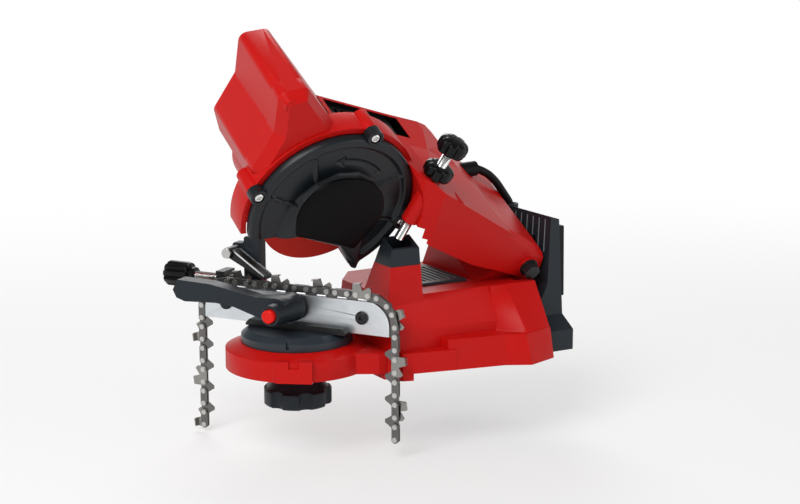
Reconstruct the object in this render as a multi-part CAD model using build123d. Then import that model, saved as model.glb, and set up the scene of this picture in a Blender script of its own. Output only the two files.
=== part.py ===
from build123d import *
import math
import os

os.makedirs("parts", exist_ok=True)

# Driving dimensions, mm. Turntable axis is X0 Y0, bench top is Z0.
BOLT_X = 133.0
BOLT_SPACING_X = 90.0
BOLT_SPACING_Y = 96.0
BOLT_R = 4.0
WALL = 3.6
HEAD_TILT = 30.0
HEAD_ORIGIN_Z = 62.5
WHEEL_R = 54.0
WHEEL_HALF = 1.6
WHEEL_BORE_R = 11.5
WHEEL_AT = (1.2, 92.4)
PIVOT_AT = (196.0, 35.5)
PIVOT_R = 5.0
ARM_FAR = -61.0
ARM_NEAR = 40.0
HOOD_FAR = -85.0
HOOD_NEAR = 4.0
SPLIT_H = -18.0
COVER_R = 71.0
COVER_LOW = 6.2
COVER_FACE = 14.0
HUB_FACE = 20.5
DRUM_R = 76.0
DRUM_AT = (3.3, 97.0)
SCREW_TIP = (66.3, 69.7)
SCREW_H = 24.0
SCREW_TILT = 14.3
SCREW_R = 4.0
VISE_ANGLE = 35.0
RAIL_HALF = 87.0
RAIL_TOP = 61.0
RAIL_LOW = 33.0
RAIL_CORNER = 20.0
SLOT_HALF = 0.8
RAIL_OUTER = 3.3
RAIL_BOLTS = (-66.0, 62.5)
RAIL_BOLT_Z = 47.0
RAIL_BOLT_R = 3.0
CHAIN_PITCH = 19.05
RIVET_SPAN = 10.9
RIVET_LIFT = 4.5
RIVET_R = 1.5
CHAIN_START = 4.5
LEVER_AT = (0.5, 51.5)
STOP_ROD_Z = 63.5
STOP_ROD_M = 15.0
PAWL_S = -62.0
PAWL_Z = 91.0
PAWL_PIN_R = 2.0
FIT = 0.05

sin_t = math.sin(math.radians(HEAD_TILT))
cos_t = math.cos(math.radians(HEAD_TILT))
sin_v = math.sin(math.radians(VISE_ANGLE))
cos_v = math.cos(math.radians(VISE_ANGLE))
HEAD = Plane(origin=(0, 0, HEAD_ORIGIN_Z), x_dir=(1, 0, 0), z_dir=(0, -cos_t, -sin_t)).location
VISE = Plane(origin=(0, 0, 0), x_dir=(sin_v, -cos_v, 0), z_dir=(0, 0, 1)).location


def box(x0, x1, y0, y1, z0, z1):
    return Pos((x0 + x1) / 2, (y0 + y1) / 2, (z0 + z1) / 2) * Box(x1 - x0, y1 - y0, z1 - z0)


def disc(x, y, z0, z1, radius):
    return Pos(x, y, (z0 + z1) / 2) * Cylinder(radius, z1 - z0)


def outline(points, z):
    return Pos(0, 0, z) * make_face(Polyline(*points, close=True))


def prism(points, z0, z1):
    return extrude(outline(points, z0), amount=z1 - z0, dir=(0, 0, 1))


def taper(low, z0, high, z1):
    return loft([outline(low, z0), outline(high, z1)], ruled=True)


def rod(start, end, radius):
    axis = Vector(*end) - Vector(*start)
    place = Plane(origin=start, z_dir=axis).location
    return place * Cylinder(radius, axis.length, align=(Align.CENTER, Align.CENTER, Align.MIN))


def side(points, y0, y1):
    """Prism of X-Z points between two Y values."""
    face = make_face(Polyline(*[(x, 0, z) for x, z in points], close=True))
    return extrude(Pos(0, y0, 0) * face, amount=y1 - y0, dir=(0, 1, 0))


def shrink(points, gap):
    """Same outline moved inwards by gap; negative moves outwards."""
    count = len(points)
    area = sum(points[i - 1][0] * points[i][1] - points[i][0] * points[i - 1][1] for i in range(count))
    turn = 1 if area > 0 else -1
    result = []
    for i in range(count):
        (x0, y0), (x1, y1), (x2, y2) = points[i - 1], points[i], points[(i + 1) % count]
        a = math.hypot(x1 - x0, y1 - y0)
        b = math.hypot(x2 - x1, y2 - y1)
        n0 = (-(y1 - y0) / a * turn, (x1 - x0) / a * turn)
        n1 = (-(y2 - y1) / b * turn, (x2 - x1) / b * turn)
        scale = gap / (1 + n0[0] * n1[0] + n0[1] * n1[1])
        result.append((x1 + (n0[0] + n1[0]) * scale, y1 + (n0[1] + n1[1]) * scale))
    return result


def bent_run(points, radius):
    """Straight runs between points, each corner rounded by a tangent arc."""
    edges = []
    here = points[0]
    for corner, beyond in zip(points[1:-1], points[2:]):
        u = (corner - here).normalized()
        v = (beyond - corner).normalized()
        half_turn = math.acos(u.dot(v)) / 2
        back = radius * math.tan(half_turn)
        lift = radius * (1 / math.cos(half_turn) - 1)
        enter = corner - u * back
        leave = corner + v * back
        edges.append(Line(here, enter))
        edges.append(ThreePointArc(enter, corner + (v - u).normalized() * lift, leave))
        here = leave
    edges.append(Line(here, points[-1]))
    return Wire(edges)


def star_knob(z0, z1, radius, lobes, notch):
    knob = Pos(0, 0, (z0 + z1) / 2) * Cylinder(radius, z1 - z0)
    knob = chamfer(knob.edges(), 1.2)
    for i in range(lobes):
        turn = Rot(0, 0, 360 / lobes * i)
        knob -= turn * disc(radius + notch * 0.45, 0, z0 - 1, z1 + 1, notch)
    return knob


def hexagon(flats, z0, z1):
    return extrude(Pos(0, 0, z0) * RegularPolygon(flats / 2 / math.cos(math.pi / 6), 6), amount=z1 - z0)


def emit(name, *shapes):
    placed = [Pos(-BOLT_X, 0, 0) * solid for shape in shapes for solid in shape.solids()]
    result = placed[0] if len(placed) == 1 else Compound(children=placed)
    export_step(result, os.path.join("parts", name + ".step"))


# Base housing: pad, skirts, raised body, tower and knuckle in one moulding. A dark cap with the
# well for the depth screw closes the tower.
SKIRT_FRONT = [(0, -51.5), (22.9, -51), (44, -62), (52, -62.3), (60, -73.5), (68.4, -75.7),
               (107, -83), (107, 62), (54, 58), (44, 60), (22.9, 51), (0, 51.5)]
SKIRT_REAR = [(100, -82), (149.3, -90.4), (169.6, -100.8), (199, -90.2), (199, 66), (150, 66), (100, 62)]
SKIRT_REAR_TOP = [(100, -79), (150, -87.5), (168, -94), (199, -84), (199, 65), (150, 65), (100, 61)]
CORE_LOW = [(54, -66), (150, -70), (199, -76), (199, 60), (74, 55), (54, 27)]
CORE_TOP = [(56, -58), (150, -59), (197, -60), (197, 56), (76, 51), (56, 24)]
FLARE_LOW = [(152, -70), (170, -92), (199, -83), (199, -20), (152, -20)]
FLARE_TOP = [(152, -61), (168, -61), (198, -61), (198, -20), (152, -20)]
TOWER_LOW = [(54, -60), (88, -60), (88, -12), (54, -12)]
TOWER_TOP = [(57, -62), (81, -62), (81, -30), (57, -30)]
TOWER_CUT_H = 16.0
TOWER_TOP_G = 65.5
TOWER_ROOM_G = 36.0
CAP_LOW = 88.0
LEG = [(152, -60), (152, 16), (176, 36), (188, 45), (197, 45), (205, 38), (205, 20), (199, -12), (199, -60)]
KNUCKLE_FAR = -44.0
KNUCKLE_NEAR = 33.0
BUSH_R = 7.0
EYE_R = 9.4
EYE_LIP = 1.6
DECK_Z = 62.0
PAD_R = 60.0
STUD_R = 5.0

pad = disc(0, 0, 0, 16.5, PAD_R)
pad += Pos(0, 0, 19) * Cone(PAD_R, 48, 5)
housing = pad + prism(SKIRT_FRONT, 0, 17.5) + taper(SKIRT_REAR, 0, SKIRT_REAR_TOP, 25.5)
housing += taper(shrink(CORE_LOW, -1), 0, CORE_LOW, 34)
housing += taper(CORE_LOW, 34, CORE_TOP, DECK_Z)
housing += taper(FLARE_LOW, 25.5, FLARE_TOP, DECK_Z)
tower = taper(TOWER_LOW, 50, TOWER_TOP, 118)
tower = tower - HEAD * box(0, 200, -100, 200, -100, TOWER_CUT_H)
tower = tower - HEAD * box(0, 200, TOWER_TOP_G, 200, -100, 100)
cap_side = box(0, 200, -200, 200, CAP_LOW, 200)
housing += tower - cap_side
leg = HEAD * (prism(LEG, KNUCKLE_FAR, KNUCKLE_NEAR) + disc(*PIVOT_AT, KNUCKLE_FAR, KNUCKLE_NEAR, EYE_R))
leg = leg - box(100, 250, -100, 100, -100, 30)
housing += leg
core_room = taper(shrink(CORE_LOW, WALL), -1, shrink(CORE_LOW, WALL), 34)
core_room += taper(shrink(CORE_LOW, WALL), 34, shrink(CORE_TOP, WALL), DECK_Z - WALL)
housing -= core_room
housing -= prism(shrink(SKIRT_FRONT, WALL + 1), -1, 13.5)
housing -= box(97, 110, -76, 56, -1, 13.5)
housing -= box(199, 300, -200, 200, -50, 50)
housing -= taper(shrink(SKIRT_REAR, WALL + 1), -1, shrink(SKIRT_REAR_TOP, WALL + 1), 21.5)
housing -= taper(shrink(TOWER_LOW, WALL + 1), 49, shrink(TOWER_TOP, WALL + 1), 118) & HEAD * box(
    0, 200, -100, TOWER_ROOM_G, TOWER_CUT_H + WALL, 60)
LEG_ROOM = [(157, -60), (157, 10), (178, 22), (184, 10), (194, -14), (194, -60)]
housing -= HEAD * prism(LEG_ROOM, KNUCKLE_FAR + WALL, 28) - box(100, 250, -100, 100, -100, 34)
pad_room = disc(0, 0, -1, 12.5, PAD_R - 5) + disc(0, 0, 10, 17, 45)
pad_room -= disc(0, 0, -2, 18, 15)
housing -= pad_room
lip = prism([(50, -60.5), (52.5, -61), (60.5, -73), (69.4, -75.6), (69.4, 58.5), (55, 57.5), (50, 57)], -6, 1)
housing += lip - box(57, 65.4, -68, 52, -7, 2)
stop_block = prism([(-42.8, -45.8), (-18.2, -63.2), (-12, -54), (-36, -38)], 0, 18)
stop_block -= disc(-30.5, -54.5, 12, 19, 4.5)
housing += stop_block
FLOOR_PILOT_R = 1.5
BOLT_DEEP = 24
bolt_spots = [(BOLT_X + i * BOLT_SPACING_X / 2, j * BOLT_SPACING_Y / 2) for i in (-1, 1) for j in (-1, 1)]
screw_spots = [(112, -40), (112, 40), (148, -40), (148, 40)]
for x, y in bolt_spots:
    housing += disc(x, y, 0, DECK_Z - 2, 9)
for x, y in screw_spots:
    housing += disc(x, y, 3, DECK_Z - 2, 4.5)
for x, y in bolt_spots:
    housing -= disc(x, y, -1, BOLT_DEEP, BOLT_R)
for x, y in screw_spots:
    housing -= disc(x, y, 2, 20, FLOOR_PILOT_R)
housing -= disc(0, 0, -1, 30, STUD_R + 0.5)
housing -= HEAD * disc(*PIVOT_AT, -60, 40, BUSH_R)
WELL_X = (58.2, 78.5)
WELL_H = (18.1, 31.0)
WELL_FLOOR_G = 50.6
housing -= HEAD * box(184, 220, 6, 42, 35.5, 46)
deck_slot = box(96, 146, -34, 34, DECK_Z - 1.2, DECK_Z + 5)
housing -= deck_slot
emit("base_housing", housing.solids().sort_by(SortBy.VOLUME)[-1])

emit("tower_cap", (tower & cap_side) - HEAD * box(*WELL_X, WELL_FLOOR_G, 90, *WELL_H))
deck = box(96, 146, -34, 34, DECK_Z - 1.2, DECK_Z + 2.4)
for i in range(7):
    deck -= box(103 + i * 5.4, 105.4 + i * 5.4, -26, 26, DECK_Z + 0.8, DECK_Z + 3)
emit("deck_cover", deck)

floor = prism([(74, -70), (100, -74), (148, -82), (168, -90), (192, -84), (192, 54), (78, 48)], 0.5, 3)
for x, y in bolt_spots:
    floor -= disc(x, y, 0, 4, 9.5)
for x, y in screw_spots:
    floor -= disc(x, y, 0, 4, 1.8)
floor_screws = []
for x, y in screw_spots:
    floor_screws.append(disc(x, y, 0.5, 16, FLOOR_PILOT_R - FIT) + disc(x, y, -1.0, 0.5, 3.2))
emit("base_floor", floor)
emit("floor_screws", *floor_screws)

bushes = [HEAD * (disc(*PIVOT_AT, a, b, BUSH_R) - disc(*PIVOT_AT, a - 1, b + 1, PIVOT_R + FIT))
          for a, b in ((KNUCKLE_FAR, -26), (13, KNUCKLE_NEAR))]
emit("pivot_bushes", *bushes)

# Battery holder behind the base.
HOLDER = [(199, 0), (230, 0), (230, 18), (228, 29), (223, 113), (214.5, 115.5), (212, 58), (209, 50), (199.5, 34)]
HOLDER_Y = (-60, 34)
FIN_SLOTS = 6
FIN_START = -54.0
FIN_STEP = 9.2
FIN_SLOT = 4.5
LEAD_R = 3.6
LEAD_END = (218.5, 8.0)
holder = side(HOLDER, *HOLDER_Y)
holder += side([(203, 0), (230, 0), (230, 18), (203, 18)], -74, 34)
flare = loft([Pos(0, 0, 18) * make_face(Polyline((203, -74), (230, -74), (230, 0), (203, 0), close=True)),
              Pos(0, 0, 29) * make_face(Polyline((205, -60), (228, -60), (228, 0), (205, 0), close=True))], ruled=True)
holder += flare
holder -= side(shrink(HOLDER, WALL), HOLDER_Y[0] + WALL, HOLDER_Y[1] - WALL)
holder -= box(206, 226, -70, 30, -1, 15)
for i in range(FIN_SLOTS):
    start = FIN_START + i * FIN_STEP
    holder -= box(216, 221.5, start, start + FIN_SLOT, 103.5, 120)
holder -= box(212, 240, -38, -10, 40, 96)
holder += disc(*LEAD_END, 112, 117, 6.2)
holder -= disc(*LEAD_END, 100, 120, LEAD_R + 0.9)
emit("battery_holder", holder)

rails = [side([(227.11, 44), (232, 44), (231, 106), (223.42, 106)], y, y + 7) for y in (-56, 1)]
emit("battery_rails", *rails)
terminal = box(213, 224, -38, -10, 40, 96)
terminal -= box(218, 225, -36, -12, 46, 90)
emit("terminal_block", terminal)
emit("battery_contacts", *[box(218, 224.5, y, y + 1.2, 58, 82) for y in (-33, -26.6, -22.2, -15.8)])
board = box(204.5, 206.1, -50, 24, 8, 34)
board += box(206.1, 211, -42, -24, 14, 28) + box(206.1, 210, -12, 0, 12, 32)
emit("control_board", board)

# Turntable and chain vise.
table = disc(0, 0, 21.8, 28, 46.7) + Pos(0, 0, 30.25) * Cone(46.7, 41, 4.5)
table -= disc(0, 0, 20, 27, STUD_R)
table -= Rot(0, 0, -126) * box(43, 50, -1.5, 1.5, 24, 34)
table -= VISE * (disc(-30, 0, 20, 30, 1.6) + disc(40, 0, 20, 30, 1.6))
emit("turntable", table)
emit("turntable_stud", disc(0, 0, -32, 27, STUD_R))

block = box(-42, 52, -13, 13, 32.5, 38) - box(-43, 53, -RAIL_OUTER, RAIL_OUTER, RAIL_LOW, 39)
block -= Pos(52, 0, 38) * Rot(0, 45, 0) * Box(5, 30, 5)
block -= Pos(-42, 0, 38) * Rot(0, 45, 0) * Box(5, 30, 5)
emit("vise_block", VISE * block)


def rail(m0, m1):
    plate = box(-RAIL_HALF, RAIL_HALF, m0, m1, RAIL_LOW, RAIL_TOP)
    top = plate.edges().filter_by(Axis.Y).sort_by(Axis.Z)[-2:]
    plate = fillet(top, RAIL_CORNER)
    plate -= rod((LEVER_AT[0], m0 - 1, LEVER_AT[1]), (LEVER_AT[0], m1 + 1, LEVER_AT[1]), SCREW_R + 0.5)
    for s in RAIL_BOLTS:
        plate -= rod((s, m0 - 1, RAIL_BOLT_Z), (s, m1 + 1, RAIL_BOLT_Z), RAIL_BOLT_R)
    return plate


emit("rail_near", VISE * rail(-RAIL_OUTER, -SLOT_HALF))
emit("rail_far", VISE * rail(SLOT_HALF, RAIL_OUTER))
RAIL_NUT_R = 5.2
rail_screws = []
for s in RAIL_BOLTS:
    screw = rod((s, -RAIL_OUTER, RAIL_BOLT_Z), (s, 7, RAIL_BOLT_Z), RAIL_BOLT_R)
    head = rod((s, -6.1, RAIL_BOLT_Z), (s, -RAIL_OUTER, RAIL_BOLT_Z), 5.6)
    head = fillet(head.edges().sort_by(Axis.Y)[:1], 1.8)
    head -= rod((s, -7, RAIL_BOLT_Z), (s, -4.4, RAIL_BOLT_Z), 1.6)
    nut = rod((s, RAIL_OUTER, RAIL_BOLT_Z), (s, 7, RAIL_BOLT_Z), RAIL_NUT_R)
    rail_screws.append(screw + head + nut)
emit("rail_screws", *[VISE * item for item in rail_screws])

clamp_nut = rod((LEVER_AT[0], RAIL_OUTER, LEVER_AT[1]), (LEVER_AT[0], 10.5, LEVER_AT[1]), 7.5)
clamp_nut -= rod((LEVER_AT[0], 0, LEVER_AT[1]), (LEVER_AT[0], 12, LEVER_AT[1]), SCREW_R + FIT)
emit("clamp_nut", VISE * clamp_nut)

bracket = box(-80, -30, RAIL_OUTER, 8, 50, 58) + box(-80, -72, RAIL_OUTER, 22, 50, 72)
bracket -= rod((-85, STOP_ROD_M, STOP_ROD_Z), (-65, STOP_ROD_M, STOP_ROD_Z), SCREW_R + FIT)
bracket -= rod((RAIL_BOLTS[0], 0, RAIL_BOLT_Z), (RAIL_BOLTS[0], 9, RAIL_BOLT_Z), RAIL_NUT_R + 0.2)
emit("stop_bracket", VISE * bracket)

# Chain stop: carrier, pawl, adjusting rod and knob.
post = box(-56, -40, 10, 20, 46, 103) + box(-67, -56, 10, 20, 84, 97)
post = chamfer(post.edges().filter_by(Axis.Y), 1.5)
post -= rod((-70, STOP_ROD_M, STOP_ROD_Z), (-30, STOP_ROD_M, STOP_ROD_Z), SCREW_R + FIT)
post -= rod((PAWL_S, 5, PAWL_Z), (PAWL_S, 25, PAWL_Z), PAWL_PIN_R)
emit("chain_stop_post", VISE * post)
pin = rod((PAWL_S, -8, PAWL_Z), (PAWL_S, 20, PAWL_Z), PAWL_PIN_R)
emit("pawl_pin", VISE * (pin + rod((PAWL_S, -9.5, PAWL_Z), (PAWL_S, -7.4, PAWL_Z), 4.2)))
PAWL = [(-64, 95), (-58, 93.6), (-27.5, 73.6), (-25.6, 71.4), (-29, 70.6), (-62, 86.6)]
pawl = side(PAWL, -5, 7) + rod((PAWL_S, -7, PAWL_Z), (PAWL_S, 9, PAWL_Z), 4.6)
pawl -= rod((PAWL_S, -12, PAWL_Z), (PAWL_S, 12, PAWL_Z), PAWL_PIN_R + FIT)
emit("chain_pawl", VISE * pawl)
emit("stop_rod", VISE * rod((-122, STOP_ROD_M, STOP_ROD_Z), (-37, STOP_ROD_M, STOP_ROD_Z), SCREW_R))
knob = star_knob(-12, 12, 11, 8, 2.6) - disc(0, 0, 0, 13, SCREW_R)
knob += disc(0, 0, 12, 17, 7) - disc(0, 0, 11, 18, SCREW_R)
stop_place = Pos(-123, STOP_ROD_M, STOP_ROD_Z) * Rot(0, 90, 0)
emit("stop_knob", VISE * stop_place * knob)

# Clamp lever with its spline button.
SPINDLE_END = 33.0
BUTTON_R = 5.6
lever_x, lever_z = LEVER_AT
LEVER = [(8, 62), (0, 64), (-18, 63), (-40, 66.5), (-62, 70), (-94, 71), (-98.5, 62), (-95, 55.5), (-87, 53),
         (-57, 54.6), (-40, 53), (-16, 46), (-4, 42), (6, 43)]
hub_place = Pos(lever_x, 0, lever_z) * Rot(90, 0, 0)
hub = hub_place * (Pos(0, 0, 27.5) * Cone(12.4, 8.6, 39))
lever = hub + side(LEVER, -36, -22)
lever -= side([(-20, 57), (-40, 60), (-62, 63.5), (-90, 65), (-90, 59), (-62, 59), (-40, 57), (-20, 52)], -23.5, -20)
lever -= hub_place * disc(0, 0, 0, SPINDLE_END, SCREW_R)
lever -= hub_place * disc(0, 0, SPINDLE_END, 50, BUTTON_R + 0.6)
emit("clamp_lever", VISE * lever)
emit("clamp_spindle", VISE * rod((lever_x, -SPINDLE_END, lever_z), (lever_x, 16, lever_z), SCREW_R))
button = hub_place * disc(0, 0, 39.5, 51, BUTTON_R)
button = chamfer(button.edges().sort_by(Axis.Y)[:1], 0.8)
emit("lever_button", VISE * button)
coil = Helix(pitch=1.6, height=4.8, radius=4.0, center=(0, 0, 34.0))
wire = sweep(Plane(origin=coil @ 0, z_dir=coil % 0) * Circle(0.45), path=coil)
emit("button_spring", VISE * hub_place * wire)

# Saw chain laid over the rails.
chain_top = RAIL_TOP + RIVET_LIFT
chain_r = RAIL_CORNER + RIVET_LIFT
straight = RAIL_HALF - RAIL_CORNER
arc = chain_r * math.pi / 2


def chain_place(length):
    """Chain station at a distance along the rivet line from the middle of the rails."""
    sign = 1 if length >= 0 else -1
    run = abs(length)
    if run <= straight:
        return Pos(length, 0, chain_top)
    if run <= straight + arc:
        turn = (run - straight) / chain_r
        x = straight + chain_r * math.sin(turn)
        z = chain_top - chain_r + chain_r * math.cos(turn)
        return Pos(sign * x, 0, z) * Rot(0, sign * math.degrees(turn), 0)
    drop = run - straight - arc
    return Pos(sign * (straight + chain_r), 0, chain_top - chain_r - drop) * Rot(0, sign * 90, 0)


half = RIVET_SPAN / 2
STRAP = [(-half - 3.2, -1.2), (-half - 1.2, -3.1), (half + 1.2, -3.1), (half + 3.2, -1.2), (half + 3.2, 1.2),
         (half + 1.2, 3.2), (-half - 1.2, 3.2), (-half - 3.2, 1.2)]
CUTTER = [(-half - 3.2, -1.2), (-half - 1.2, -3.1), (half + 1.2, -3.1), (half + 3.2, -1.2), (half + 3.0, 5.4),
          (half + 1.0, 7.4), (2.2, 4.6), (0.6, 3.4), (-1.5, 9.2), (-half - 2.9, 8.4)]
DRIVE = [(-6.9, -1.6), (-3.6, -6.0), (-1.5, -9.6), (1.2, -9.6), (3.6, -6.0), (6.9, -1.6), (6.9, 1.6), (4.8, 3.0),
         (-4.8, 3.0), (-6.9, 1.6)]


def rivet_holes(shape, spots):
    for s in spots:
        shape -= rod((s, -5, 0), (s, 5, 0), RIVET_R)
    return shape


strap = rivet_holes(side(STRAP, 0.75, 2.0), (-half, half))
cutter = rivet_holes(side(CUTTER, 0.75, 2.0), (-half, half))
cutter += side([(-half - 2.9, 8.0), (-half - 2.9, 9.0), (-1.5, 9.9), (-1.5, 8.8)], -2.2, 2.0)
drive = rivet_holes(side(DRIVE, -0.65, 0.65), ((RIVET_SPAN - CHAIN_PITCH) / 2, (CHAIN_PITCH - RIVET_SPAN) / 2))
rivet = rod((0, -2.05, 0), (0, 2.05, 0), RIVET_R - 0.09) + rod((0, -2.7, 0), (0, -2.02, 0), 2.2)
rivet += rod((0, 2.02, 0), (0, 2.7, 0), 2.2)
mirrored = {"strap": strap.mirror(Plane.XZ), "cutter": cutter.mirror(Plane.XZ)}
straps, lefts, rights, drives, rivets = [], [], [], [], []


def link_place(first, last):
    """Place for a link whose two rivets sit at two distances along the chain."""
    a = chain_place(first).position
    b = chain_place(last).position
    angle = math.degrees(math.atan2(a.Z - b.Z, b.X - a.X))
    return Pos((a.X + b.X) / 2, 0, (a.Z + b.Z) / 2) * Rot(0, angle, 0)


for k in range(-11, 11):
    middle = CHAIN_START + k * CHAIN_PITCH
    place = link_place(middle - half, middle + half)
    for s in (middle - half, middle + half):
        rivets.append(VISE * chain_place(s) * rivet)
    if k % 2 == 0:
        straps.append(VISE * place * strap)
        straps.append(VISE * place * mirrored["strap"])
    elif k % 4 == 1:
        lefts.append(VISE * place * cutter)
        straps.append(VISE * place * mirrored["strap"])
    else:
        rights.append(VISE * place * mirrored["cutter"])
        straps.append(VISE * place * strap)
    if k < 10:
        drives.append(VISE * link_place(middle + half, middle + CHAIN_PITCH - half) * drive)
emit("tie_straps", *straps)
emit("cutters_left", *lefts)
emit("cutters_right", *rights)
emit("drive_links", *drives)
emit("chain_rivets", *rivets)

# Lock knob under the turntable.
under = star_knob(-33, -19, 28.8, 7, 7) + Pos(0, 0, -12.5) * Cone(26, 15, 13) + disc(0, 0, -6.1, -1.5, 15)
under -= disc(0, 0, -40, 0, 9)
emit("turntable_lock_knob", under)
insert = disc(0, 0, -33, -2, 9) - disc(0, 0, -40, 0, STUD_R + FIT)
emit("lock_knob_insert", insert)

# Head shells: arm, wheel drum and motor hood.
ARM = [(7, 157), (79.4, 132.4), (111, 122.3), (120, 118), (129, 110), (138, 100.5), (168, 75), (203, 54),
       (209.5, 46), (210, 33), (206, 18), (191.6, 23.2), (162, 37.4), (114.3, 62.6), (98, 71), (95, 87),
       (67, 88.5), (40, 88)]
CHEEK = [(66, 88.5), (66, 84), (110.4, 59), (138, 44), (165, 34.5), (186, 25.9), (150, 60), (110, 100), (80, 100)]
CREST = (62.0, 142.0)
CREST_SLOPE = math.atan(-0.6366)
CREST_RISE = 0.129
CHAMFER_FROM = 120.0
CHAMFER = 5.0
HOOD = [(-38, 207.5), (-61.5, 204), (-57, 167), (-68.5, 132), (-58, 108), (-43, 98), (-20, 56), (24, 56),
        (45, 98), (50, 122), (22, 138.7)]
HOOD_ROUND = 7.0
HOOD_BEVEL = 9.0
motor_u, motor_v = WHEEL_AT
MOTOR_R = 44.0
DRUM_BACK = -16.0
DRUM_FRONT = 6.0
BOSS_R = 6.5


def blend_cut(gap):
    """Wedge in front of the arm beside the wheel cover, in X-h points, run along the arm's height."""
    points = [(0, 14.6 - gap), (63 + gap * 0.8, 14.6 - gap), (70 + gap * 0.8, 31 - gap / 2),
              (86 + gap, ARM_NEAR - gap), (86, 70), (0, 70)]
    face = make_face(Polyline(*[(a, 0, h) for a, h in points], close=True))
    return extrude(face, amount=200, dir=(0, 1, 0))


def crest_cut(gap, low, slant, start):
    """Block above a plane along the arm's crest line; slant is its rise per mm away from the operator."""
    along_crest = Vector(math.cos(CREST_SLOPE), math.sin(CREST_SLOPE), 0)
    normal = along_crest.cross(Vector(0, slant, -1)).normalized()
    origin = Vector(*CREST, ARM_NEAR) - Vector(0, low, 0) - normal * gap
    return Plane(origin=origin, x_dir=along_crest, z_dir=normal).location * box(start, 240, -150, 150, 0, 80)


def hood_solid(gap, low, high):
    """Rounded hood prism with a drafted near end."""
    face = fillet(outline(HOOD, low).vertices(), HOOD_ROUND)
    face = offset(face, amount=-gap, kind=Kind.INTERSECTION) if gap else face
    body = extrude(face, amount=high - HOOD_BEVEL - low, dir=(0, 0, 1))
    tip = extrude(Pos(0, 0, high - HOOD_BEVEL - low) * face, amount=HOOD_BEVEL, dir=(0, 0, 1), taper=35)
    return body + tip


arm = prism(ARM, ARM_FAR, ARM_NEAR) + prism(CHEEK, ARM_NEAR - WALL, ARM_NEAR) - blend_cut(0)
arm -= crest_cut(0, 0, CREST_RISE, -150)
arm -= crest_cut(0, CHAMFER, 1, CHAMFER_FROM)
hood = hood_solid(0, HOOD_FAR, HOOD_NEAR) + disc(motor_u, motor_v, HOOD_FAR, 0, MOTOR_R)
drum = disc(*DRUM_AT, DRUM_BACK, DRUM_FRONT, DRUM_R)
outer = arm + hood + drum
arm_room = prism(shrink(ARM, WALL), ARM_FAR + WALL, ARM_NEAR - WALL) - blend_cut(WALL)
arm_room -= crest_cut(WALL, 0, CREST_RISE, -150)
arm_room += prism([(150, 55), (150, 10), (215, 0), (215, 22), (205, 22), (205, 50), (170, 68)],
                  ARM_FAR + WALL, ARM_NEAR - WALL)
hood_room = hood_solid(WALL, HOOD_FAR + WALL, DRUM_BACK - WALL + HOOD_BEVEL) & box(-200, 200, 0, 300, -100, DRUM_BACK - WALL)
hood_room += disc(motor_u, motor_v, HOOD_FAR + WALL, DRUM_BACK - WALL, MOTOR_R - WALL)
upper_room = hood_solid(WALL, -30, HOOD_NEAR - WALL) - disc(*DRUM_AT, -40, 20, DRUM_R)
arm_room -= disc(*DRUM_AT, DRUM_BACK - WALL, 60, DRUM_R)
shell = outer - arm_room - hood_room - upper_room
TRIM = [(-64, 76), (-50, 72), (-25, 74.7), (17, 61), (37.5, 31), (49, 35), (71.5, 63), (100, 60), (100, -20),
        (-100, -20), (-100, 76)]
shell -= disc(*DRUM_AT, -9, 70, COVER_R + 0.4)
shell -= prism(TRIM, -16.1, 20) & disc(*DRUM_AT, -20, 30, DRUM_R + 2)
shell -= disc(motor_u, motor_v, -30, 20, 12)
rod_dir = (math.sin(math.radians(SCREW_TILT)), math.cos(math.radians(SCREW_TILT)))


def along(length):
    return (SCREW_TIP[0] + rod_dir[0] * length, SCREW_TIP[1] + rod_dir[1] * length, SCREW_H)


BOSS_LOW, BOSS_TOP, LOCK_LOW, LOCK_TOP, KNOB_LOW, KNOB_TOP = 19.5, 63.5, 65.0, 76.0, 88.5, 102.0
KNOB_R = 12.8
THIN_WALL = 1.2
shell += rod(along(BOSS_LOW), along(BOSS_TOP), 7)
shell -= rod(along(0), along(90), SCREW_R + FIT)
shell -= prism([(40, 88.4), (95, 87.0), (96, 60), (40, 60)], 8, ARM_NEAR - WALL)
shell -= prism([(60, 60), (92, 60), (92, 78), (60, 78)], 30, ARM_NEAR - THIN_WALL)
for low, high in ((ARM_NEAR - WALL, ARM_NEAR + EYE_LIP), (ARM_FAR - EYE_LIP, ARM_FAR + WALL)):
    shell += disc(*PIVOT_AT, low, high, EYE_R)
shell -= disc(*PIVOT_AT, -80, 60, PIVOT_R)
GRILLE = [(8, 170), (84, 145), (90, 118), (84, 119), (76, 125), (14, 146)]
grille_room = prism(GRILLE, -58, -30)
shell += (prism([(8, 140), (8, 156.6), (79.4, 132.3), (90, 129), (88, 108)], -61, -27) & outer) - prism(
    [(10, 136), (10, 142), (74, 121), (80, 108), (60, 108)], -58, -30)
shell -= grille_room
COVER_SCREW_R = 1.6
cover_screw_spots = [(-67, 118.8), (22.2, 168.4), (71.1, 78.2)]
for u, v in cover_screw_spots:
    shell += disc(u, v, DRUM_BACK, DRUM_FRONT, BOSS_R)
    shell -= disc(u, v, -8, 7, COVER_SCREW_R)
SEAT_H = -40.0
SHELL_SCREW_R = 1.6
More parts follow.
